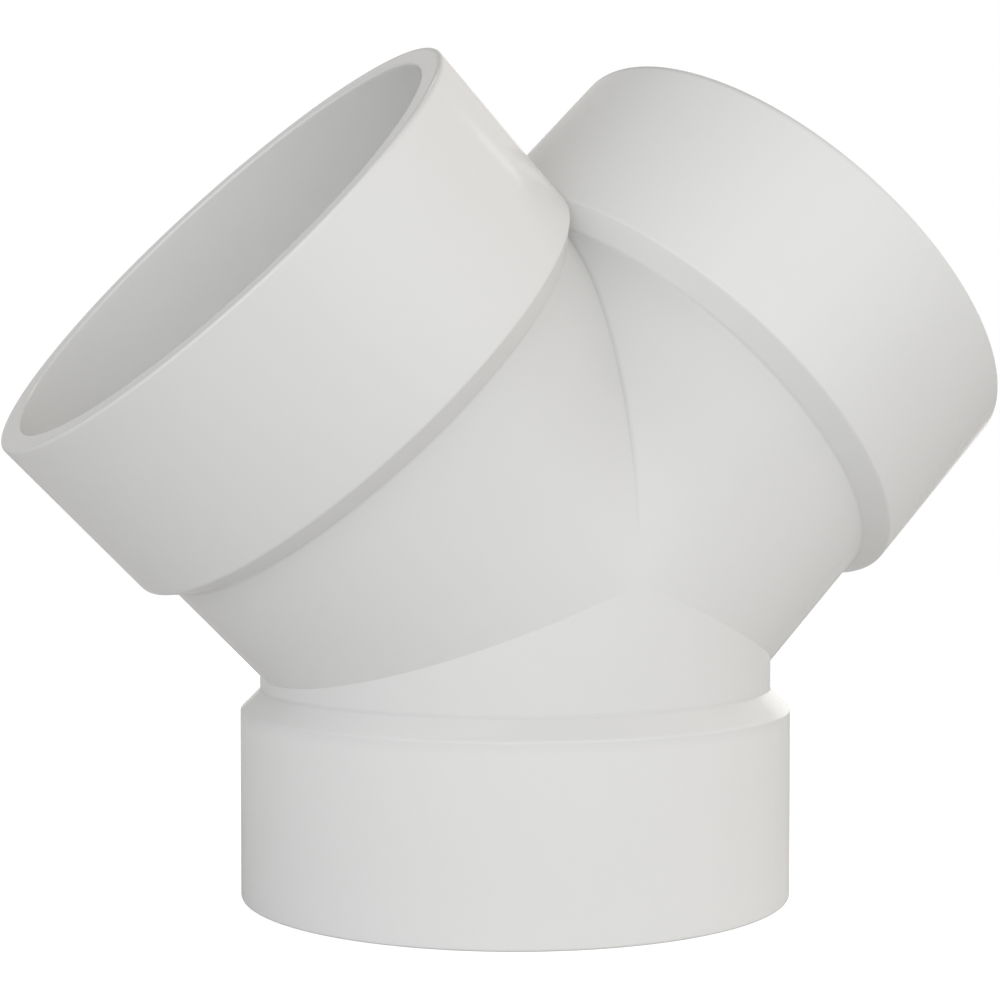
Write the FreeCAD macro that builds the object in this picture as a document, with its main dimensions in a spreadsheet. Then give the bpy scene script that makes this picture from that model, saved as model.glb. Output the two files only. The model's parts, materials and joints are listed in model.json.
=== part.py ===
# Duct Y branch: a white PVC fitting, moulded in one piece, that splits one duct run into two branches.
# Each of its three arms is a round tube that ends in a hub: a wider socket with a sloped shoulder behind it.
# The run stands upright on its mouth, and the branches rise from it to the left and right at the same lean.
# Millimetres. Z is up, the origin is the centre of the run's mouth, and the three axes lie in the XZ plane.
import FreeCAD, Part
import math
import os
from types import SimpleNamespace

import Sketcher

NODE = "duct_y_branch"
FULL_TURN = 360.0
HALF_TURN = 180.0

# The driving dimensions: alias, value, what it measures.
SIZES = (
    ("pipe_od", 114.3, "outside diameter of the pipe that each socket takes"),
    ("pipe_wall", 6.0, "wall of that pipe, whose inside the fitting's bore carries on"),
    ("cement_gap", 0.2, "radial gap between the pipe and its socket"),
    ("socket_depth", 38.1, "mouth to the stop that the pipe's end meets"),
    ("hub_wall", 5.35, "wall of a hub around its socket"),
    ("hub_length", 42.65, "mouth to the start of the hub's sloped shoulder"),
    ("shoulder_angle", 45.0, "slope of the shoulder from the arm's axis, in degrees"),
    ("body_wall", 7.1, "wall of the tubes behind the hubs"),
    ("run_reach", 74.0, "the run's mouth to the point where the axes meet"),
    ("branch_reach", 100.75, "a branch's mouth to the point where the axes meet"),
    ("branch_angle", 45.0, "lean of each branch from the run's axis, in degrees"),
    ("rim_round", 0.6, "radius on the outer edge of a mouth's rim"),
    ("mouth_bevel", 0.6, "width of the bevel that leads the pipe in, on the inner edge of the rim"),
)

# Places in a sketch: its own origin, and the two ends of a line.
ORIGIN = (-1, 1)
START, END = 1, 2


class Measure:
    """A size, as its value now and as the expression on the sheet that gives it."""

    def __init__(self, value, text):
        self.value = value
        self.text = text

    def __add__(self, other):
        return Measure(self.value + other.value, f"({self.text} + {other.text})")

    def __sub__(self, other):
        return Measure(self.value - other.value, f"({self.text} - {other.text})")

    def __mul__(self, other):
        return Measure(self.value * other.value, f"({self.text} * {other.text})")

    def __truediv__(self, other):
        return Measure(self.value / other.value, f"({self.text} / {other.text})")

    def __neg__(self):
        return Measure(-self.value, f"(-{self.text})")


def number(value):
    """A plain number as a measure."""
    return Measure(value, str(value))


def ratio(function, angle):
    """The sin, cos or tan of an angle in degrees, as a measure."""
    value = getattr(math, function)(math.radians(angle.value))
    return Measure(value, f"{function}({angle.text})")


def make_sheet(doc):
    """The spreadsheet of driving dimensions, one row each."""
    sheet = doc.addObject("Spreadsheet::Sheet", "Sizes")
    for row, (alias, value, meaning) in enumerate(SIZES, start=1):
        sheet.set(f"A{row}", alias)
        sheet.set(f"B{row}", str(value))
        sheet.setAlias(f"B{row}", alias)
        sheet.set(f"C{row}", meaning)
    doc.recompute()
    return sheet


def read_sizes(sheet):
    """The sheet's sizes as measures, and the radii and places that follow from them."""
    size = SimpleNamespace()
    for alias, value, meaning in SIZES:
        setattr(size, alias, Measure(float(sheet.get(alias)), f"{sheet.Name}.{alias}"))
    pipe_radius = size.pipe_od / number(2)
    size.socket_radius = pipe_radius + size.cement_gap
    size.hub_radius = size.socket_radius + size.hub_wall
    size.bore_radius = pipe_radius - size.pipe_wall
    size.body_radius = size.bore_radius + size.body_wall
    size.shoulder_rise = (size.hub_radius - size.body_radius) / ratio("tan", size.shoulder_angle)
    size.branch_mouth_x = -(size.branch_reach * ratio("sin", size.branch_angle))
    size.branch_mouth_z = size.run_reach + size.branch_reach * ratio("cos", size.branch_angle)
    size.branch_turn = number(HALF_TURN) + size.branch_angle
    return size


def origin_plane(body, role):
    """One of the body's own origin planes, such as XZ_Plane."""
    return next(feature for feature in body.Origin.OriginFeatures if feature.Role == role)


class HalfSection:
    """Half of an arm's section, as a sketch: x is the distance from the arm's axis, y the way in from its mouth."""

    def __init__(self, body, name):
        self.sketch = body.newObject("Sketcher::SketchObject", name)
        self.sketch.AttachmentSupport = [(origin_plane(body, "XZ_Plane"), "")]
        self.sketch.MapMode = "FlatFace"

    def lay_along_left_branch(self, size):
        """Starts the sketch at the left branch's mouth, with y towards the point where the axes meet."""
        mouth = FreeCAD.Vector(size.branch_mouth_x.value, size.branch_mouth_z.value, 0)
        turn = FreeCAD.Rotation(FreeCAD.Vector(0, 0, 1), size.branch_turn.value)
        self.sketch.AttachmentOffset = FreeCAD.Placement(mouth, turn)
        self.sketch.setExpression("AttachmentOffset.Base.x", size.branch_mouth_x.text)
        self.sketch.setExpression("AttachmentOffset.Base.y", size.branch_mouth_z.text)
        self.sketch.setExpression("AttachmentOffset.Rotation.Angle", size.branch_turn.text)

    def hold(self, kind, *where):
        """A constraint that has no size."""
        self.sketch.addConstraint(Sketcher.Constraint(kind, *where))

    def measure(self, name, kind, *where, size):
        """A named constraint whose size comes from the sheet."""
        index = self.sketch.addConstraint(Sketcher.Constraint(kind, *where, size.value))
        self.sketch.renameConstraint(index, name)
        self.sketch.setExpression(f"Constraints.{name}", size.text)

    def draw_loop(self, corners):
        """Straight lines from corner to corner and back to the first, which is the sketch's origin."""
        points = [FreeCAD.Vector(x.value, y.value, 0) for x, y in corners]
        ends = points[1:] + points[:1]
        lines = [self.sketch.addGeometry(Part.LineSegment(*line)) for line in zip(points, ends)]
        for line, following in zip(lines, lines[1:] + lines[:1]):
            self.hold("Coincident", line, END, following, START)
        self.hold("Coincident", lines[0], START, *ORIGIN)
        return lines

    def round_corner(self, name, line, radius):
        """A tangent arc at the end of a line. The corner stays as a point that carries its sizes."""
        arc = self.sketch.GeometryCount
        self.sketch.fillet(line, END, radius.value, True, True)
        self.measure(name, "Radius", arc, size=radius)


def draw_outside(section, size, reach):
    """The outside of an arm: mouth, hub, sloped shoulder, tube, and the cap where the axes meet."""
    zero = number(0)
    shoulder_end = size.hub_length + size.shoulder_rise
    mouth, hub, shoulder, tube, cap, axis = section.draw_loop((
        (zero, zero),
        (size.hub_radius, zero),
        (size.hub_radius, size.hub_length),
        (size.body_radius, shoulder_end),
        (size.body_radius, reach),
        (zero, reach),
    ))
    for line in (mouth, cap):
        section.hold("Horizontal", line)
    for line in (hub, tube, axis):
        section.hold("Vertical", line)
    section.measure("hub_radius", "DistanceX", *ORIGIN, mouth, END, size=size.hub_radius)
    section.measure("hub_length", "DistanceY", *ORIGIN, hub, END, size=size.hub_length)
    section.measure("body_radius", "DistanceX", *ORIGIN, shoulder, END, size=size.body_radius)
    section.measure("shoulder_end", "DistanceY", *ORIGIN, shoulder, END, size=shoulder_end)
    section.measure("reach", "DistanceY", *ORIGIN, tube, END, size=reach)
    section.round_corner("rim_round", mouth, size.rim_round)


def draw_inside(section, size, reach):
    """The inside of an arm: bevelled mouth, socket, the stop at its end, and the bore to where the axes meet."""
    zero = number(0)
    mouth_radius = size.socket_radius + size.mouth_bevel
    mouth, bevel, socket, stop, bore, cap, axis = section.draw_loop((
        (zero, zero),
        (mouth_radius, zero),
        (size.socket_radius, size.mouth_bevel),
        (size.socket_radius, size.socket_depth),
        (size.bore_radius, size.socket_depth),
        (size.bore_radius, reach),
        (zero, reach),
    ))
    for line in (mouth, stop, cap):
        section.hold("Horizontal", line)
    for line in (socket, bore, axis):
        section.hold("Vertical", line)
    section.measure("mouth_radius", "DistanceX", *ORIGIN, mouth, END, size=mouth_radius)
    section.measure("mouth_bevel", "DistanceY", *ORIGIN, bevel, END, size=size.mouth_bevel)
    section.measure("socket_radius", "DistanceX", *ORIGIN, bevel, END, size=size.socket_radius)
    section.measure("socket_depth", "DistanceY", *ORIGIN, socket, END, size=size.socket_depth)
    section.measure("bore_radius", "DistanceX", *ORIGIN, stop, END, size=size.bore_radius)
    section.measure("reach", "DistanceY", *ORIGIN, bore, END, size=reach)


def turn_section(doc, body, kind, name, section):
    """Spins a section about its arm's axis, as added or removed material."""
    feature = body.newObject(f"PartDesign::{kind}", name)
    feature.Profile = section.sketch
    feature.ReferenceAxis = (section.sketch, ["V_Axis"])
    feature.Angle = FULL_TURN
    doc.recompute()
    return feature


def mirror_branch(doc, body, name, feature):
    """Repeats what was made on the left branch on the right one."""
    mirrored = body.newObject("PartDesign::Mirrored", name)
    mirrored.Originals = [feature]
    mirrored.MirrorPlane = (origin_plane(body, "YZ_Plane"), [""])
    body.Tip = mirrored
    doc.recompute()
    return mirrored


def add_arms(doc, body, size, kind, side, draw):
    """The run and both branches, drawn by one function and spun as one kind of feature."""
    run = HalfSection(body, f"run_{side}_section")
    draw(run, size, size.run_reach)
    turn_section(doc, body, kind, f"run_{side}", run)
    branch = HalfSection(body, f"branch_{side}_section")
    branch.lay_along_left_branch(size)
    draw(branch, size, size.branch_reach)
    left = turn_section(doc, body, kind, f"left_branch_{side}", branch)
    return mirror_branch(doc, body, f"right_branch_{side}", left)


def make_fitting(doc, size):
    """The whole fitting: three arms joined in one wall, bored out from every mouth."""
    body = doc.addObject("PartDesign::Body", NODE)
    body.Label = NODE
    body.Placement = FreeCAD.Placement()
    solid = add_arms(doc, body, size, "Revolution", "outside", draw_outside)
    bored = add_arms(doc, body, size, "Groove", "inside", draw_inside)
    if not bored.Shape.Volume < solid.Shape.Volume:
        raise RuntimeError("the bores removed nothing")
    return body


def check(doc, body):
    """Stops if any object of the document failed, or if the fitting isn't one sound solid."""
    for feature in doc.Objects:
        if "Invalid" in feature.State or "Error" in feature.State:
            raise RuntimeError(f"{feature.Name} failed: {feature.State}")
    shape = body.Shape
    if shape.isNull() or not shape.isValid() or len(shape.Solids) != 1:
        raise RuntimeError(f"{body.Label} isn't one sound solid")


def main():
    doc = FreeCAD.newDocument(NODE)
    size = read_sizes(make_sheet(doc))
    fitting = make_fitting(doc, size)
    check(doc, fitting)
    os.makedirs("parts", exist_ok=True)
    fitting.Shape.exportStep(os.path.join("parts", f"{fitting.Label}.step"))


main()
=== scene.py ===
"""Duct Y branch: a white PVC fitting whose run splits into two slanted branches, in a pale studio."""
import json
import math
from typing import NamedTuple

import bpy
from bpy.props import FloatProperty, FloatVectorProperty, IntProperty, PointerProperty
from mathutils import Matrix, Vector


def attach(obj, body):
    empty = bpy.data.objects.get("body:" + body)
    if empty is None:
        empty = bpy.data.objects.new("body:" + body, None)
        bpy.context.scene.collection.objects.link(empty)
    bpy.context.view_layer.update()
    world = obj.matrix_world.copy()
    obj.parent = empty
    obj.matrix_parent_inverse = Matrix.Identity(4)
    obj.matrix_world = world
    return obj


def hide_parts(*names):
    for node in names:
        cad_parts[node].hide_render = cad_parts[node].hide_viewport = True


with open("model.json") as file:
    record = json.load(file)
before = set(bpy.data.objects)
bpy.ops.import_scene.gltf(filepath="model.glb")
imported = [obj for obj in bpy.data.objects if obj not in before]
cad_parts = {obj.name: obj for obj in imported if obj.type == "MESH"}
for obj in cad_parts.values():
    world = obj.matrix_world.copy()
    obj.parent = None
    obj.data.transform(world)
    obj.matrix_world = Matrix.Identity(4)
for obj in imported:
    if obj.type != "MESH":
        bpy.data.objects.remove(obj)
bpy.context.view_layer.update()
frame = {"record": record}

bl_info = {
    "name": "Duct Y Branch",
    "version": (1, 0, 0),
    "blender": (4, 5, 0),
    "location": "View3D > Sidebar > Y Branch",
    "description": "Builds a moulded PVC Y branch for a duct run, and the studio it stands in",
    "category": "Object",
}

NODE = "duct_y_branch"
BODY = "root"
MM = 0.001


def mount(name):
    """One of the record's mounts."""
    return next(entry for entry in frame["record"]["mounts"] if entry["name"] == name)


# The left branch's axis gives the branches' lean, and the point of the run's axis where the axes meet.
LEFT_AXIS = Vector(mount("left_socket")["axis"])
LEFT_PLACE = Vector(mount("left_socket")["pos_m"])
LEAN = math.atan2(-LEFT_AXIS.x, LEFT_AXIS.z)
MEETING = LEFT_PLACE - LEFT_AXIS * (LEFT_PLACE.x / LEFT_AXIS.x)

# The sockets are alike. The run's mouth is at height nought, so its socket's height is the depth in it.
SOCKET_MIDDLE = mount("run_socket")["pos_m"][2]
SOCKET_LENGTH = mount("run_socket")["dims"]["length_mm"] * MM
SOCKET_RADIUS = mount("run_socket")["dims"]["r_mm"] * MM

# The photograph, in pixels: its width, the lens, the lens's centre and the place where the axes meet.
PHOTO_WIDTH = 1000.0
PHOTO_LENS = 2216.0
PHOTO_CENTRE = (512.53, 518.73)
PHOTO_MEETING = (515.23, 568.33)

# The camera: its angles about the fitting, its distance, the nearest that it sees, and its sensor (mm).
VIEW_AZIMUTH = math.radians(-26.1776)
VIEW_ELEVATION = math.radians(2.2199)
VIEW_DISTANCE = 508.1 * MM
VIEW_START = 10.0 * MM
SENSOR_WIDTH = 36.0

# The floor: how far it lies below the rim, how far it reaches, where it fades from and to, its roughness.
FLOOR_GAP = 0.05 * MM
FLOOR_REACH = 2.0
FLOOR_FADE = (0.25, 1.2)
FLOOR_ROUGHNESS = 0.9

# Points of the mesh that are closer than this are one point.
WELD = 0.005 * MM

# Steps around a rounded edge, and the stretch kept straight beside it, as a share of the edge's radius.
ROUND_STEPS = 5
EDGE_HOLD = 1.6
SHOULDER_HOLD = 0.8

# Point attributes of the mesh. CREASE marks where the arms meet. SECTION is a point's place in its arm's
# section: its distance from the arm's axis, and the way in from the mouth.
CREASE = "crease"
SECTION = "section"

# Widths over which the painted shade and light in the PVC's colour change: at rims, corners and the
# crotch, on the run's hub and tubes.
RIM_LINE = 1.6 * MM
CORNER_LINE = 0.8 * MM
CROTCH_LINE = 0.9 * MM
CROTCH_REACH = 60.0 * MM
CROTCH_RISE = 45.0 * MM
FOOT_FADE = 3.0 * MM
TUBE_FADE = 14.0 * MM

# Share of the height from the meeting of the axes to the top where the sockets have no painted shade or
# light: painted shade below it, painted light above.
MIDDLE_TONE = 0.6

# The PVC's slow drift and the ripples of its skin: waves to a metre, finer layers, and how far each
# changes the roughness. Both noises swing about the same middle.
DRIFT_SCALE = 22.0
DRIFT_DETAIL = 2.0
DRIFT_ROUGHNESS = 0.08
SKIN_SCALE = 420.0
SKIN_DETAIL = 1.0
SKIN_ROUGHNESS = 0.06
NOISE_MIDDLE = 0.5
PVC_IOR = 1.53


class Softbox(NamedTuple):
    """A soft light aimed at the fitting: degrees from the camera, sizes in metres, power in watts.

    Azimuth 0 is the camera's side of the fitting, and 90 is on its right.
    """

    name: str
    azimuth: float
    elevation: float
    width: float
    height: float
    power: float


SOFTBOX_DISTANCE = 1.5
SOFTBOXES = (
    Softbox("streak", azimuth=139.5, elevation=32.8, width=0.05, height=0.05, power=0.03),
    Softbox("high back", azimuth=180.0, elevation=60.0, width=0.5, height=0.3, power=1.1),
    Softbox("low back", azimuth=168.0, elevation=5.0, width=1.6, height=0.6, power=2.0),
)


class FittingSizes(bpy.types.PropertyGroup):
    """Sizes of the fitting."""

    run_reach: FloatProperty(
        name="Run Reach", description="The run's mouth to the point where the axes meet",
        default=MEETING.z, unit="LENGTH")
    branch_reach: FloatProperty(
        name="Branch Reach", description="A branch's mouth to the point where the axes meet",
        default=(LEFT_PLACE - MEETING).length + SOCKET_MIDDLE, unit="LENGTH")
    socket_radius: FloatProperty(
        name="Socket Radius", description="Inside of a hub, which takes the pipe",
        default=SOCKET_RADIUS, unit="LENGTH")
    socket_depth: FloatProperty(
        name="Socket Depth", description="Mouth to the stop that the pipe's end meets",
        default=SOCKET_MIDDLE + SOCKET_LENGTH / 2, unit="LENGTH")
    hub_wall: FloatProperty(
        name="Hub Wall", description="Wall of a hub around its socket",
        default=5.35 * MM, unit="LENGTH")
    hub_length: FloatProperty(
        name="Hub Length", description="Mouth to the start of the sloped shoulder",
        default=42.65 * MM, unit="LENGTH")
    tube_radius: FloatProperty(
        name="Tube Radius", description="Outside of the tubes behind the hubs",
        default=58.25 * MM, unit="LENGTH")
    bore_radius: FloatProperty(
        name="Bore Radius", description="Inside of the tubes, behind the stops",
        default=51.15 * MM, unit="LENGTH")
    edge_round: FloatProperty(
        name="Edge Round", description="Radius on the rims' and stops' edges and behind the shoulders",
        default=0.6 * MM, unit="LENGTH")
    shoulder_round: FloatProperty(
        name="Shoulder Round", description="Radius on the outer edge of a shoulder",
        default=0.9 * MM, unit="LENGTH")
    segments: IntProperty(
        name="Segments", description="Faces around an arm",
        default=360, min=24)

    @property
    def hub_radius(self):
        """Outside of a hub."""
        return self.socket_radius + self.hub_wall

    @property
    def shoulder_length(self):
        """Length of a shoulder along its arm. It slopes at 45 degrees, so that is also its height."""
        return self.hub_radius - self.tube_radius


class PvcFinishAndPaintedShade(bpy.types.PropertyGroup):
    """Look of the PVC, and the shade and light painted into its colour."""

    colour: FloatVectorProperty(
        name="Colour", description="Colour of the PVC",
        default=(0.80, 0.80, 0.79), min=0.0, max=1.0, subtype="COLOR")
    roughness: FloatProperty(
        name="Roughness", description="Spread of the reflections on the PVC",
        default=0.2, min=0.0, max=1.0, subtype="FACTOR")
    # From here down to the foot light, these paint shade and light into the PVC's colour.
    rim_painted_shade: FloatProperty(
        name="Rim Line", description="How much darker the PVC is along the upper edges of the branch rims",
        default=0.3, min=0.0, max=1.0, subtype="FACTOR")
    corner_painted_shade: FloatProperty(
        name="Corner Line", description="How much darker the PVC is in the corners behind the shoulders",
        default=0.06, min=0.0, max=1.0, subtype="FACTOR")
    crease_painted_shade: FloatProperty(
        name="Crotch Line", description="How much darker the PVC is in the crease between the branches",
        default=0.11, min=0.0, max=1.0, subtype="FACTOR")
    crotch_shade: FloatProperty(
        name="Crotch Shade", description="How much darker the tubes are beside that crease",
        default=0.13, min=0.0, max=1.0, subtype="FACTOR")
    shoulder_light: FloatProperty(
        name="Shoulder Light", description="How much lighter the shoulders are beside that crease",
        default=0.08, min=0.0, max=1.0, subtype="FACTOR")
    shoulder_shade: FloatProperty(
        name="Shoulder Shade", description="How much darker the shoulders are than the hubs",
        default=0.03, min=0.0, max=1.0, subtype="FACTOR")
    tube_shade: FloatProperty(
        name="Tube Shade", description="How much darker the branch tubes are just behind the shoulders",
        default=0.05, min=0.0, max=1.0, subtype="FACTOR")
    mouth_shade: FloatProperty(
        name="Mouth Shade", description="How much darker the sockets are low in the mouths than high up",
        default=0.07, min=0.0, max=1.0, subtype="FACTOR")
    foot_light: FloatProperty(
        name="Foot Light", description="How much lighter the run's hub is than the rest",
        default=0.05, min=0.0, max=1.0, subtype="FACTOR")
    unevenness: FloatProperty(
        name="Unevenness", description="How far the tone drifts over the moulding",
        default=0.03, min=0.0, max=1.0, subtype="FACTOR")
    skin_depth: FloatProperty(
        name="Skin Depth", description="Height of the ripples in the moulded skin",
        default=0.01 * MM, unit="LENGTH")


class StudioLook(bpy.types.PropertyGroup):
    """Lights and floor of the studio."""

    floor_colour: FloatVectorProperty(
        name="Floor Colour", description="Colour of the floor",
        default=(0.79, 0.79, 0.79), min=0.0, max=1.0, subtype="COLOR")
    floor_glow: FloatProperty(
        name="Floor Glow", description="How far the floor is brightened towards the white behind it",
        default=0.7, min=0.0)
    even_light: FloatProperty(
        name="Even Light", description="Light that comes the same from all round",
        default=0.22)
    top_light: FloatProperty(
        name="Top Light", description="Light that grows upwards",
        default=1.05)
    front_light: FloatProperty(
        name="Front Light", description="Light that grows towards the camera",
        default=0.386)
    right_light: FloatProperty(
        name="Right Light", description="Light that grows towards the camera's right",
        default=0.05)
    level_light: FloatProperty(
        name="Level Light", description="Light from the sides, taken from straight above and below",
        default=1.16)
    high_front_light: FloatProperty(
        name="High Front Light", description="Light from above the camera, taken from above the back",
        default=0.14)
    high_right_light: FloatProperty(
        name="High Right Light", description="Light from the upper right, taken from the upper left",
        default=0.47)
    front_left_light: FloatProperty(
        name="Front Left Light", description="Light from the front left, taken from the front right",
        default=0.2)
    front_back_light: FloatProperty(
        name="Front And Back Light", description="Light from front and back, taken from both sides",
        default=0.17)
    least_light: FloatProperty(
        name="Least Light", description="Light from where the room is darkest",
        default=0.08, min=0.0)
    warmth: FloatProperty(
        name="Warmth", description="How much warmer the light is from the upper right back",
        default=0.02)


class Value:
    """A node's output. Each operator adds the Math node that works out the sum."""

    def __init__(self, graph, socket):
        self.graph = graph
        self.socket = socket

    def __add__(self, other):
        return self.graph.math("ADD", self, other)

    def __radd__(self, other):
        return self.graph.math("ADD", other, self)

    def __sub__(self, other):
        return self.graph.math("SUBTRACT", self, other)

    def __rsub__(self, other):
        return self.graph.math("SUBTRACT", other, self)

    def __mul__(self, other):
        return self.graph.math("MULTIPLY", self, other)

    def __truediv__(self, other):
        return self.graph.math("DIVIDE", self, other)

    def __rtruediv__(self, other):
        return self.graph.math("DIVIDE", other, self)

    def __neg__(self):
        return self.graph.math("MULTIPLY", self, -1.0)


class Graph:
    """A node tree that is being built."""

    def __init__(self, tree):
        self.tree = tree

    def feed(self, socket, value):
        """Links a value to a socket, or sets it there. A list of values is linked one by one."""
        if isinstance(value, list):
            for part in value:
                self.feed(socket, part)
        elif isinstance(value, Value):
            self.tree.links.new(value.socket, socket)
        else:
            socket.default_value = value

    def node(self, kind, sockets=None, **settings):
        """Adds a node, sets it up, and fills its sockets by name or place."""
        node = self.tree.nodes.new(kind)
        for name, value in settings.items():
            setattr(node, name, value)
        for name, value in (sockets or {}).items():
            self.feed(node.inputs[name], value)
        return node

    def add(self, kind, sockets=None, output=0, **settings):
        """Adds a node, and gives one of its outputs."""
        return Value(self, self.node(kind, sockets, **settings).outputs[output])

    def math(self, operation, *terms):
        """A Math node's result."""
        return self.add("ShaderNodeMath", dict(enumerate(terms)), operation=operation)

    def vector(self, x, y, z):
        """A vector from its components."""
        return self.add("ShaderNodeCombineXYZ", {0: x, 1: y, 2: z})

    def split(self, vector, names="XYZ"):
        """Some of a vector's components."""
        node = self.node("ShaderNodeSeparateXYZ", {0: vector})
        return [Value(self, node.outputs[name]) for name in names]

    def ramp(self, value, low, high):
        """Nought up to low, one from high on, and a smooth climb between them."""
        return self.add("ShaderNodeMapRange", {"Value": value, "From Min": low, "From Max": high},
                        interpolation_type="SMOOTHSTEP")

    def where(self, test, yes, no):
        """One of two numbers, by a test that is one or nought."""
        sockets = {"Switch": test, "True": yes, "False": no}
        return self.add("GeometryNodeSwitch", sockets, input_type="FLOAT")

    def choose(self, index, values, data_type):
        """The value that stands at an index in a list."""
        node = self.node("GeometryNodeIndexSwitch", data_type=data_type)
        while len(node.index_switch_items) < len(values):
            node.index_switch_items.new()
        for place, value in enumerate([index, *values]):
            self.feed(node.inputs[place], value)
        return Value(self, node.outputs[0])

    def take(self, names):
        """Named number inputs of the tree, as values."""
        for name in names:
            self.tree.interface.new_socket(name, in_out="INPUT", socket_type="NodeSocketFloat")
        node = self.node("NodeGroupInput")
        return [Value(self, node.outputs[name]) for name in names]

    def give(self, geometry):
        """Makes a geometry the tree's result."""
        self.tree.interface.new_socket("Geometry", in_out="OUTPUT", socket_type="NodeSocketGeometry")
        self.node("NodeGroupOutput", {0: geometry})


SHARED_INPUTS = ("Hub Radius", "Hub Length", "Tube Radius", "Shoulder Length", "Socket Radius",
                 "Socket Depth", "Bore Radius", "Edge Round", "Shoulder Round", "Segments")
ARM_INPUTS = ("Reach", *SHARED_INPUTS, "Mitre Ahead", "Mitre Behind")


def draw_section(graph, corners):
    """A line through corners: each a distance from the arm's axis, a station along it, and a rounding."""
    index = graph.add("GeometryNodeInputIndex")
    places = [graph.vector(radius, station, 0.0) for radius, station, rounding in corners]
    rounds = [rounding for radius, station, rounding in corners]
    points = graph.add("GeometryNodePoints", {
        "Count": len(corners), "Position": graph.choose(index, places, "VECTOR")})
    line = graph.add("GeometryNodePointsToCurves", {"Points": points})
    return graph.add("GeometryNodeFilletCurve", {
        "Curve": line, "Count": ROUND_STEPS, "Radius": graph.choose(index, rounds, "FLOAT")}, mode="POLY")


def make_arm_tree():
    """One arm along +Z from the point where the axes meet, cut to mitres towards +X and -X.

    Half of its section runs from the tube over the shoulder, the hub and the rim, then in to the stop and
    the bore. It is turned about the axis, and what lies past a mitre is drawn back to it.
    """
    tree = bpy.data.node_groups.new("Y branch arm", "GeometryNodeTree")
    graph = Graph(tree)
    (reach, hub, hub_length, tube, shoulder, socket, depth, bore,
     edge, shoulder_edge, segments, ahead, behind) = graph.take(ARM_INPUTS)
    hub_end = reach - hub_length
    tube_end = hub_end - shoulder
    stop = reach - depth
    slope = (hub - tube) / shoulder
    along = 1.0 / graph.math("SQRT", 1.0 + slope * slope)
    climb = slope * along
    start = 0.0
    sharp = 0.0
    near = shoulder_edge * SHOULDER_HOLD
    wide = edge * EDGE_HOLD
    section = draw_section(graph, (
        (tube, start, sharp),
        (tube, tube_end - near, sharp),
        (tube, tube_end, edge),
        (tube + near * climb, tube_end + near * along, sharp),
        (hub - near * climb, hub_end - near * along, sharp),
        (hub, hub_end, shoulder_edge),
        (hub, hub_end + near, sharp),
        (hub, reach - wide, sharp),
        (hub, reach, edge),
        (hub - wide, reach, sharp),
        (socket + wide, reach, sharp),
        (socket, reach, edge),
        (socket, reach - wide, sharp),
        (socket, stop + wide, sharp),
        (socket, stop, edge),
        (socket - wide, stop, sharp),
        (bore + wide, stop, sharp),
        (bore, stop, edge),
        (bore, stop - wide, sharp),
        (bore, start, sharp),
    ))

    # Each step around the arm is a column of the grid. Half a point keeps its number from rounding down.
    rows = graph.add("GeometryNodeAttributeDomainSize", {"Geometry": section}, "Point Count",
                     component="CURVE")
    grid = graph.add("GeometryNodeMeshGrid", {"Vertices X": segments + 1.0, "Vertices Y": rows})
    index = graph.add("GeometryNodeInputIndex")
    column = graph.math("FLOOR", (index + 0.5) / rows)
    row = index - column * rows
    position = graph.add("GeometryNodeInputPosition")
    place = graph.add("GeometryNodeSampleIndex", {"Geometry": section, "Value": position, "Index": row},
                      data_type="FLOAT_VECTOR", domain="POINT")
    radius, station = graph.split(place, "XY")
    angle = column / segments * math.tau
    across = graph.math("COSINE", angle)

    # A mitre is the climb along the axis for each step away from it. It cuts the tube, shoulder or hub.
    mitre = graph.math("MAXIMUM", across, 0.0) * ahead + graph.math("MAXIMUM", -across, 0.0) * behind
    on_shoulder = mitre * (tube - tube_end * slope) / (1.0 - mitre * slope)
    past_tube = graph.math("GREATER_THAN", tube * mitre, tube_end)
    past_shoulder = graph.math("GREATER_THAN", hub * mitre, hub_end)
    outer_cut = graph.where(past_tube, on_shoulder, tube * mitre)
    outer_cut = graph.where(past_shoulder, hub * mitre, outer_cut)
    outer_radius = tube + (outer_cut - tube_end) * slope
    outer_radius = graph.math("MINIMUM", graph.math("MAXIMUM", outer_radius, tube), hub)
    middle_of_wall = (tube + bore) * 0.5
    inside = graph.math("LESS_THAN", radius, middle_of_wall)
    cut = graph.math("LESS_THAN", station, radius * mitre + WELD)
    radius = graph.where(cut, graph.where(inside, bore, outer_radius), radius)
    station = graph.where(cut, graph.where(inside, bore * mitre, outer_cut), station)

    spot = graph.vector(radius * across, radius * graph.math("SINE", angle), station)
    marked = graph.add("GeometryNodeStoreNamedAttribute", {"Geometry": grid, "Name": CREASE, "Value": cut},
                       data_type="BOOLEAN", domain="POINT")
    marked = graph.add("GeometryNodeStoreNamedAttribute", {
        "Geometry": marked, "Name": SECTION, "Value": graph.vector(radius, reach - station, 0.0)},
        data_type="FLOAT_VECTOR", domain="POINT")
    graph.give(graph.add("GeometryNodeSetPosition", {"Geometry": marked, "Position": spot}))
    return tree


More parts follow.
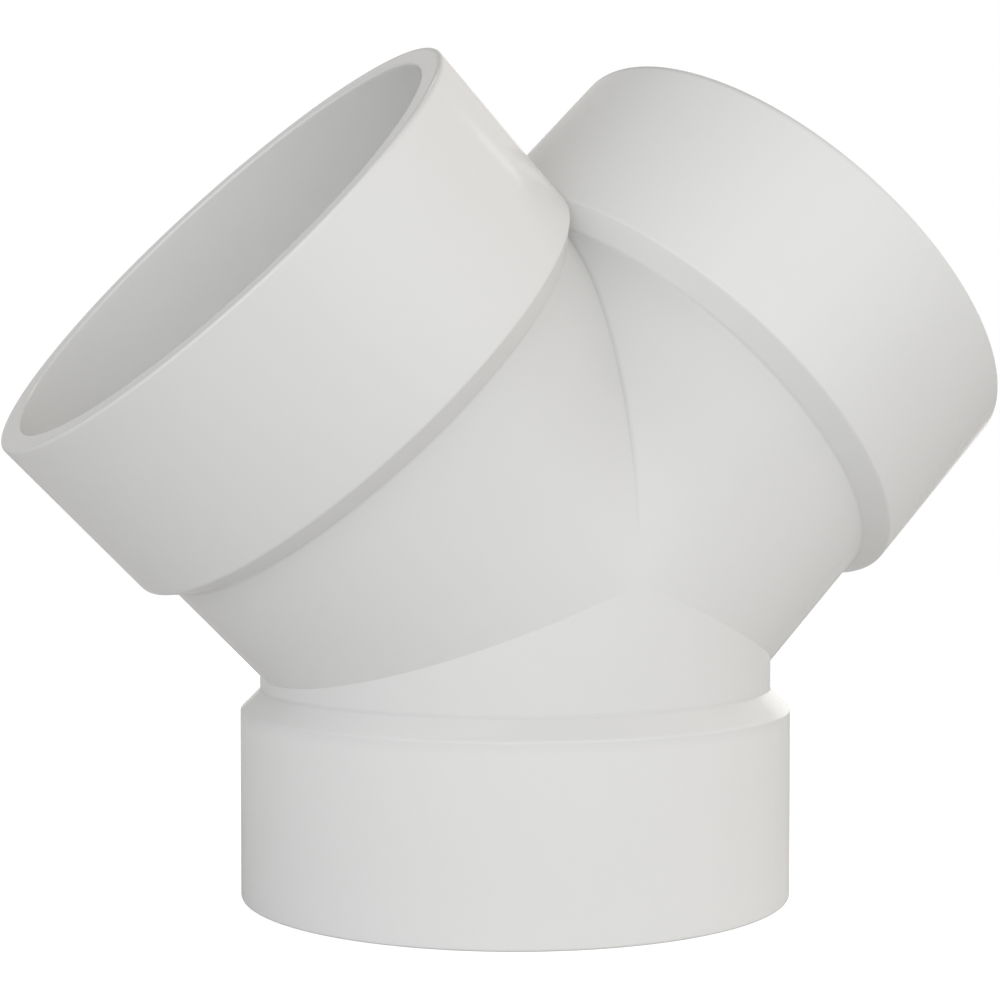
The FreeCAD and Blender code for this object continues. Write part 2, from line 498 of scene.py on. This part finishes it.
def make_fitting_tree(material):
    """The whole fitting: the run and both branches, welded along their mitres."""
    tree = bpy.data.node_groups.new("Y branch fitting", "GeometryNodeTree")
    graph = Graph(tree)
    names = ("Run Reach", "Branch Reach", "Lean", *SHARED_INPUTS)
    run_reach, branch_reach, lean, *shared = graph.take(names)
    arm_tree = make_arm_tree()
    meeting = graph.vector(0.0, 0.0, run_reach)
    between = 1.0 / graph.math("TANGENT", lean)
    beside = graph.math("TANGENT", lean * 0.5)

    def arm(reach, ahead, tilt, turn):
        sizes = dict(zip(ARM_INPUTS, [reach, *shared, ahead, beside]))
        shape = graph.add("GeometryNodeGroup", sizes, node_tree=arm_tree)
        return graph.add("GeometryNodeTransform", {
            "Geometry": shape, "Translation": meeting, "Rotation": graph.vector(0.0, tilt, turn)})

    arms = [
        arm(run_reach, beside, math.pi, 0.0),
        arm(branch_reach, between, -lean, 0.0),
        arm(branch_reach, between, -lean, math.pi),
    ]
    joined = graph.add("GeometryNodeJoinGeometry", {"Geometry": arms})
    welded = graph.add("GeometryNodeMergeByDistance", {"Geometry": joined, "Distance": WELD})
    crease = graph.add("GeometryNodeInputNamedAttribute", {"Name": CREASE}, data_type="BOOLEAN")
    smooth = graph.add("GeometryNodeSetShadeSmooth", {
        "Geometry": welded, "Shade Smooth": True}, domain="FACE")
    creased = graph.add("GeometryNodeSetShadeSmooth", {
        "Geometry": smooth, "Selection": crease, "Shade Smooth": False}, domain="EDGE")
    plain = graph.add("GeometryNodeRealizeInstances", {"Geometry": creased})
    graph.give(graph.add("GeometryNodeSetMaterial", {"Geometry": plain, "Material": material}))
    return tree


def make_piece(name, tree, sizes):
    """Runs a tree with its sizes, and keeps the result as a plain mesh at the origin."""
    piece = bpy.data.objects.new(name, bpy.data.meshes.new(name))
    bpy.context.collection.objects.link(piece)
    modifier = piece.modifiers.new(name, "NODES")
    modifier.node_group = tree
    for socket in tree.interface.items_tree:
        if socket.in_out == "INPUT":
            modifier[socket.identifier] = sizes[socket.name]
    graph = bpy.context.evaluated_depsgraph_get()
    mesh = bpy.data.meshes.new_from_object(piece.evaluated_get(graph), depsgraph=graph)
    piece.modifiers.remove(modifier)
    piece.data = mesh
    mesh.name = name
    for place in reversed(range(len(mesh.materials))):
        if mesh.materials[place] is None:
            mesh.materials.pop(index=place)
    if not mesh.polygons:
        raise RuntimeError(f"{name} came out empty")
    return piece


def make_material(name):
    """An empty material, and the graph that fills it."""
    material = bpy.data.materials.new(name)
    material.use_nodes = True
    material.node_tree.nodes.clear()
    return material, Graph(material.node_tree)


class PaintedShadeByPlace:
    """Shade and light painted into the PVC's colour at each place on the fitting, as a share of its plain
    tone.
    """

    def __init__(self, graph, place, finish, sizes):
        self.graph = graph
        self.finish = finish
        self.sizes = sizes
        self.shoulder_end = sizes.hub_length + sizes.shoulder_length
        self.mouth_height = MEETING.z + sizes.branch_reach * math.cos(LEAN)
        self.top_height = self.mouth_height + sizes.hub_radius * math.sin(LEAN)
        self.section = graph.add("ShaderNodeAttribute", output="Vector", attribute_name=SECTION)
        self.radius, self.depth = graph.split(self.section, "XY")
        across, self.height = graph.split(place, "XZ")
        self.aside = graph.math("ABSOLUTE", across)
        self.outside = graph.ramp(self.radius, sizes.bore_radius, sizes.tube_radius)
        self.tube = self.past(self.shoulder_end)
        self.shoulder = self.past(sizes.hub_length) - self.tube

    def past(self, depth):
        """One further in from the mouth than a depth, nought before it."""
        return self.graph.ramp(self.depth, depth - CORNER_LINE, depth + CORNER_LINE)

    def near(self, radius, depth, width):
        """One on an edge of the section, nought from a width away."""
        edge = (radius, depth, 0.0)
        sockets = {0: self.section, 1: edge}
        gap = self.graph.add("ShaderNodeVectorMath", sockets, "Value", operation="DISTANCE")
        return 1.0 - self.graph.ramp(gap, 0.0, width)

    def beside(self, reach):
        """One between the branches, nought from a reach away on either side."""
        return 1.0 - self.graph.ramp(self.aside, 0.0, reach)

    def at_edges(self):
        """Painted shade along the upper edges of the branch rims, and in the corners behind the shoulders.
        """
        rim = self.near(self.sizes.hub_radius, 0.0, RIM_LINE)
        rim = rim * self.graph.ramp(self.height, self.mouth_height, self.top_height)
        corner = self.near(self.sizes.tube_radius, self.shoulder_end, CORNER_LINE)
        return (1.0 - rim * self.finish.rim_painted_shade) * (1.0 - corner * self.finish.corner_painted_shade)

    def at_crotch(self):
        """Painted shade in the branches' crease and on the tubes beside it, painted light on the shoulders
        there.
        """
        crotch = self.graph.ramp(self.height, MEETING.z, MEETING.z + CROTCH_RISE) * self.outside
        crease = 1.0 - self.beside(CROTCH_LINE) * crotch * self.finish.crease_painted_shade
        change = self.shoulder * self.finish.shoulder_light - self.tube * self.finish.crotch_shade
        return crease * (1.0 + self.beside(CROTCH_REACH) * crotch * change)

    def along_arms(self):
        """Painted light on the run's hub, painted shade on the shoulders and on the branch tubes just
        behind them.
        """
        hub_length = self.sizes.hub_length
        foot = 1.0 - self.graph.ramp(self.height, hub_length - FOOT_FADE, hub_length)
        behind = 1.0 - self.graph.ramp(self.depth, self.shoulder_end, self.shoulder_end + TUBE_FADE)
        high = self.graph.ramp(self.height, MEETING.z, self.mouth_height)
        tube = self.tube * behind * high * self.outside
        shade = self.shoulder * self.finish.shoulder_shade + tube * self.finish.tube_shade
        return 1.0 + foot * self.finish.foot_light - shade

    def in_mouths(self):
        """Painted shade low in the sockets, painted light high in them."""
        socket_radius = self.sizes.socket_radius
        socket = 1.0 - self.graph.ramp(self.radius, socket_radius, socket_radius + self.sizes.edge_round)
        low = MIDDLE_TONE - self.graph.ramp(self.height, MEETING.z, self.top_height)
        return 1.0 - socket * low * self.finish.mouth_shade

    def all_over(self):
        """All of these together."""
        return self.at_edges() * self.at_crotch() * self.along_arms() * self.in_mouths()


def make_pvc(finish, sizes):
    """Glossy white PVC with a faintly uneven skin, and shade and light painted into its colour by place on
    the fitting.
    """
    material, graph = make_material("moulded_pvc")
    place = graph.add("ShaderNodeTexCoord", output="Object")

    def noise(scale, detail):
        sockets = {"Vector": place, "Scale": scale, "Detail": detail}
        return graph.add("ShaderNodeTexNoise", sockets, "Fac") - NOISE_MIDDLE

    drift = noise(DRIFT_SCALE, DRIFT_DETAIL)
    skin = noise(SKIN_SCALE, SKIN_DETAIL)
    # Shade and light painted by place, times the PVC's own random drift in tone.
    tone = PaintedShadeByPlace(graph, place, finish, sizes).all_over() * (1.0 + drift * finish.unevenness)
    shader = graph.add("ShaderNodeBsdfPrincipled", {
        "Base Color": graph.add("ShaderNodeVectorMath", {0: tuple(finish.colour), "Scale": tone},
                                operation="SCALE"),
        "Roughness": finish.roughness + skin * SKIN_ROUGHNESS + drift * DRIFT_ROUGHNESS,
        "IOR": PVC_IOR,
        "Normal": graph.add("ShaderNodeBump", {
            "Height": skin, "Strength": 1.0, "Distance": finish.skin_depth}),
    })
    graph.node("ShaderNodeOutputMaterial", {"Surface": shader})
    return material


def make_floor(studio, sizes):
    """A pale floor that fades into the white behind it, and lies in the run's shade inside its mouth."""
    mesh = bpy.data.meshes.new("floor")
    sides = ((-1, -1), (1, -1), (1, 1), (-1, 1))
    corners = [(x * FLOOR_REACH, y * FLOOR_REACH, -FLOOR_GAP) for x, y in sides]
    mesh.from_pydata(corners, [], [(0, 1, 2, 3)])
    floor = bpy.data.objects.new("floor", mesh)
    bpy.context.collection.objects.link(floor)
    material, graph = make_material("floor")
    place = graph.add("ShaderNodeTexCoord", output="Object")
    reach = graph.add("ShaderNodeVectorMath", {0: place}, "Value", operation="LENGTH")
    seen = graph.add("ShaderNodeLightPath", output="Is Camera Ray")
    matt = graph.add("ShaderNodeBsdfPrincipled", {
        "Base Color": (*studio.floor_colour, 1.0),
        "Roughness": FLOOR_ROUGHNESS,
        "Specular IOR Level": 0.0,
        "Emission Color": seen * graph.ramp(reach, sizes.socket_radius, sizes.hub_radius),
        "Emission Strength": studio.floor_glow,
    })
    clear = graph.add("ShaderNodeBsdfTransparent")
    surface = graph.add("ShaderNodeMixShader", {0: graph.ramp(reach, *FLOOR_FADE), 1: matt, 2: clear})
    graph.node("ShaderNodeOutputMaterial", {"Surface": surface})
    mesh.materials.append(material)


def make_world(studio):
    """Soft light from all round in named shares, and plain white where the camera looks past the floor."""
    world = bpy.data.worlds.new("studio")
    world.use_nodes = True
    world.node_tree.nodes.clear()
    graph = Graph(world.node_tree)
    east, north, up = graph.split(graph.add("ShaderNodeTexCoord", output="Generated"))
    right = east * math.cos(VIEW_AZIMUTH) + north * math.sin(VIEW_AZIMUTH)
    front = east * math.sin(VIEW_AZIMUTH) - north * math.cos(VIEW_AZIMUTH)
    light = studio.even_light + up * studio.top_light
    light = light + front * studio.front_light + right * studio.right_light
    # Half at the horizon, and minus one straight above and below, so that it adds nothing in all.
    light = light + (0.5 - up * up * 1.5) * studio.level_light
    light = light + front * up * studio.high_front_light + right * up * studio.high_right_light
    light = light - right * front * studio.front_left_light
    light = light + (front * front - right * right) * studio.front_back_light
    light = graph.math("MAXIMUM", light, studio.least_light)
    warmth = (right + up - front) * studio.warmth
    colour = graph.add("ShaderNodeMix", {
        "Factor": graph.add("ShaderNodeLightPath", output="Is Camera Ray"),
        "A": graph.vector(light + warmth, light, light - warmth),
        "B": (1.0, 1.0, 1.0),
    }, "Result", data_type="VECTOR")
    sky = graph.add("ShaderNodeBackground", {"Color": colour, "Strength": 1.0})
    graph.node("ShaderNodeOutputWorld", {"Surface": sky})
    bpy.context.scene.world = world


def towards(azimuth, elevation):
    """The direction from the fitting at two angles. Azimuth nought is the front, -Y."""
    level = math.cos(elevation)
    return Vector((math.sin(azimuth) * level, -math.cos(azimuth) * level, math.sin(elevation)))


def add_softbox(box):
    """One soft light, aimed at the point where the axes meet."""
    lamp = bpy.data.lights.new(box.name, "AREA")
    lamp.shape = "RECTANGLE"
    lamp.size = box.width
    lamp.size_y = box.height
    lamp.energy = box.power
    light = bpy.data.objects.new(box.name, lamp)
    back = towards(VIEW_AZIMUTH + math.radians(box.azimuth), math.radians(box.elevation))
    place = back.to_track_quat("Z", "Y").to_matrix().to_4x4()
    place.translation = MEETING + back * SOFTBOX_DISTANCE
    light.matrix_world = place
    light.visible_camera = False
    bpy.context.collection.objects.link(light)


def add_camera():
    """The photograph's view, worked out from where the axes meet in it."""
    data = bpy.data.cameras.new("photo_view")
    data.sensor_width = SENSOR_WIDTH
    data.lens = PHOTO_LENS / PHOTO_WIDTH * SENSOR_WIDTH
    middle = PHOTO_WIDTH / 2
    data.shift_x = (middle - PHOTO_CENTRE[0]) / PHOTO_WIDTH
    data.shift_y = (PHOTO_CENTRE[1] - middle) / PHOTO_WIDTH
    data.clip_start = VIEW_START
    back = towards(VIEW_AZIMUTH, VIEW_ELEVATION)
    right = Vector((math.cos(VIEW_AZIMUTH), math.sin(VIEW_AZIMUTH), 0.0))
    up = back.cross(right)
    pixel = VIEW_DISTANCE / PHOTO_LENS
    aside = right * (PHOTO_CENTRE[0] - PHOTO_MEETING[0]) * pixel
    above = up * (PHOTO_MEETING[1] - PHOTO_CENTRE[1]) * pixel
    place = Matrix((right, up, back)).transposed().to_4x4()
    place.translation = MEETING + back * VIEW_DISTANCE + aside + above
    camera = bpy.data.objects.new("photo_view", data)
    camera.matrix_world = place
    bpy.context.collection.objects.link(camera)
    bpy.context.scene.camera = camera


class OBJECT_OT_y_branch_fitting(bpy.types.Operator):
    """Build the moulded fitting"""

    bl_idname = "object.y_branch_fitting"
    bl_label = "Build Fitting"

    def execute(self, context):
        sizes = context.scene.y_branch_sizes
        pvc = make_pvc(context.scene.y_branch_finish, sizes)
        piece = make_piece("moulded_fitting", make_fitting_tree(pvc), {
            "Run Reach": sizes.run_reach,
            "Branch Reach": sizes.branch_reach,
            "Lean": LEAN,
            "Hub Radius": sizes.hub_radius,
            "Hub Length": sizes.hub_length,
            "Tube Radius": sizes.tube_radius,
            "Shoulder Length": sizes.shoulder_length,
            "Socket Radius": sizes.socket_radius,
            "Socket Depth": sizes.socket_depth,
            "Bore Radius": sizes.bore_radius,
            "Edge Round": sizes.edge_round,
            "Shoulder Round": sizes.shoulder_round,
            "Segments": float(sizes.segments),
        })
        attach(piece, BODY)
        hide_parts(NODE)
        return {"FINISHED"}


class SCENE_OT_y_branch_stage(bpy.types.Operator):
    """Set up the floor, the lights and the photograph's view"""

    bl_idname = "scene.y_branch_stage"
    bl_label = "Set Up Studio"

    def execute(self, context):
        studio = context.scene.y_branch_studio
        make_floor(studio, context.scene.y_branch_sizes)
        make_world(studio)
        for box in SOFTBOXES:
            add_softbox(box)
        add_camera()
        context.scene.view_settings.view_transform = "Standard"
        return {"FINISHED"}


class VIEW3D_PT_y_branch(bpy.types.Panel):
    """Sizes and builders of the Y branch"""

    bl_label = "Duct Y Branch"
    bl_space_type = "VIEW_3D"
    bl_region_type = "UI"
    bl_category = "Y Branch"

    def draw(self, context):
        layout = self.layout
        scene = context.scene
        for group in (scene.y_branch_sizes, scene.y_branch_finish, scene.y_branch_studio):
            for name in group.__annotations__:
                layout.prop(group, name)
        for operator in (OBJECT_OT_y_branch_fitting, SCENE_OT_y_branch_stage):
            layout.operator(operator.bl_idname)


CLASSES = (
    FittingSizes,
    PvcFinishAndPaintedShade,
    StudioLook,
    OBJECT_OT_y_branch_fitting,
    SCENE_OT_y_branch_stage,
    VIEW3D_PT_y_branch,
)


def register():
    for kind in CLASSES:
        bpy.utils.register_class(kind)
    bpy.types.Scene.y_branch_sizes = PointerProperty(type=FittingSizes)
    bpy.types.Scene.y_branch_finish = PointerProperty(type=PvcFinishAndPaintedShade)
    bpy.types.Scene.y_branch_studio = PointerProperty(type=StudioLook)


def unregister():
    del bpy.types.Scene.y_branch_sizes
    del bpy.types.Scene.y_branch_finish
    del bpy.types.Scene.y_branch_studio
    for kind in reversed(CLASSES):
        bpy.utils.unregister_class(kind)


def main():
    register()
    bpy.ops.object.y_branch_fitting()
    bpy.ops.scene.y_branch_stage()


if __name__ == "__main__":
    main()
